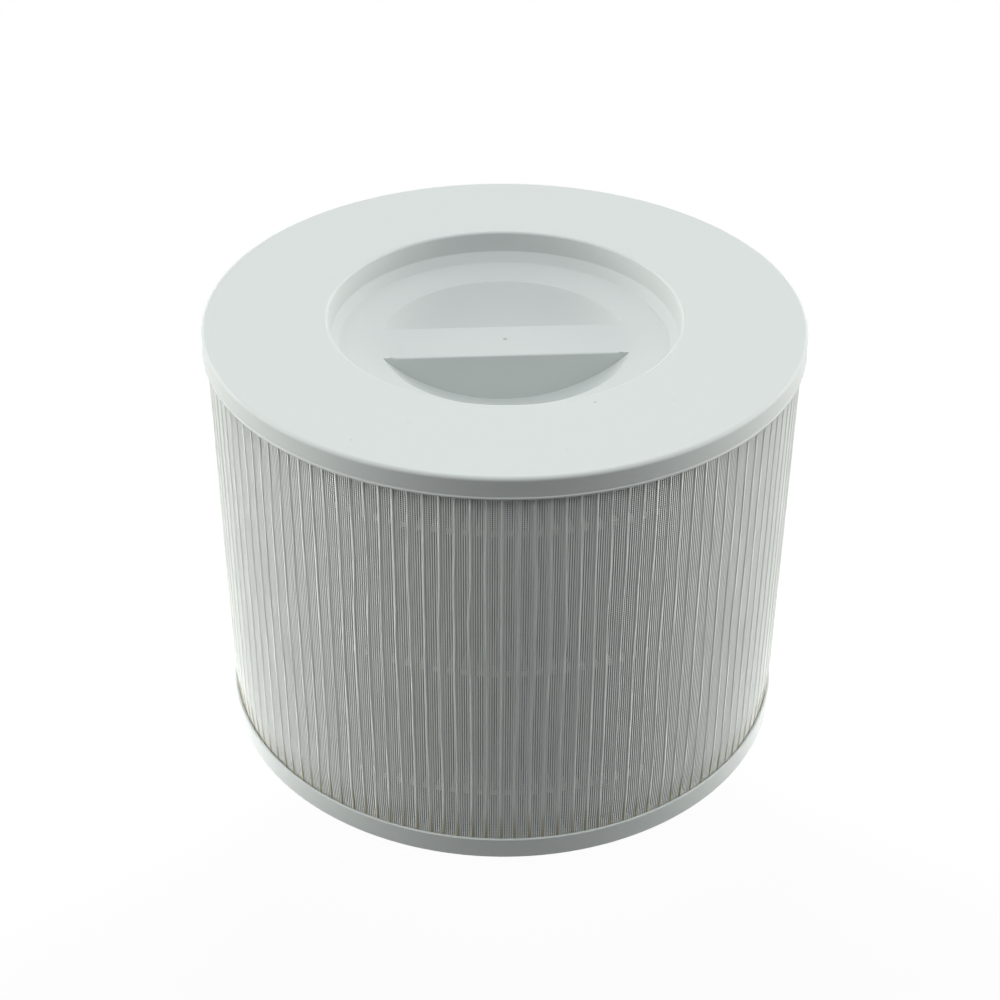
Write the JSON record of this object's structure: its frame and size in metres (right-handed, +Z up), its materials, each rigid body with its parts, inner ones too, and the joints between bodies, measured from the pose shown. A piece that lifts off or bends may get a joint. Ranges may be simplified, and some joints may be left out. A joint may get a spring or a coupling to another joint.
{
  "type": "air purifier filter",
  "caption": "Squat cylindrical air filter cartridge: pleated pack in a fine net between a moulded top cap with a finger grip and a bottom cap with a round air outlet.",
  "frame": {"origin": "centre of the seal's lower face, on the cartridge's axis", "axes": "+Z up along the cartridge's axis, from the outlet to the grip; the grip web runs along X"},
  "size_m": [0.17, 0.17, 0.1316],
  "materials": {
    "cap_plastic": "white moulded plastic with a fine satin surface",
    "seal_foam": "closed-cell foam",
    "carbon_felt": "black carbon felt",
    "net_mesh": "fine white woven net",
    "filter_paper": "white pleated filter paper",
    "glue": "hot-melt glue"
  },
  "bodies": {
    "root": {"top_cap": "cap_plastic", "bottom_cap": "cap_plastic", "seal_ring": "seal_foam", "carbon_sleeve": "carbon_felt", "prefilter_net": "net_mesh", "pleated_media": "filter_paper", "pack_seam": "glue", "bead_lower": "glue", "bead_middle": "glue", "bead_upper": "glue"}
  },
  "joints": []
}
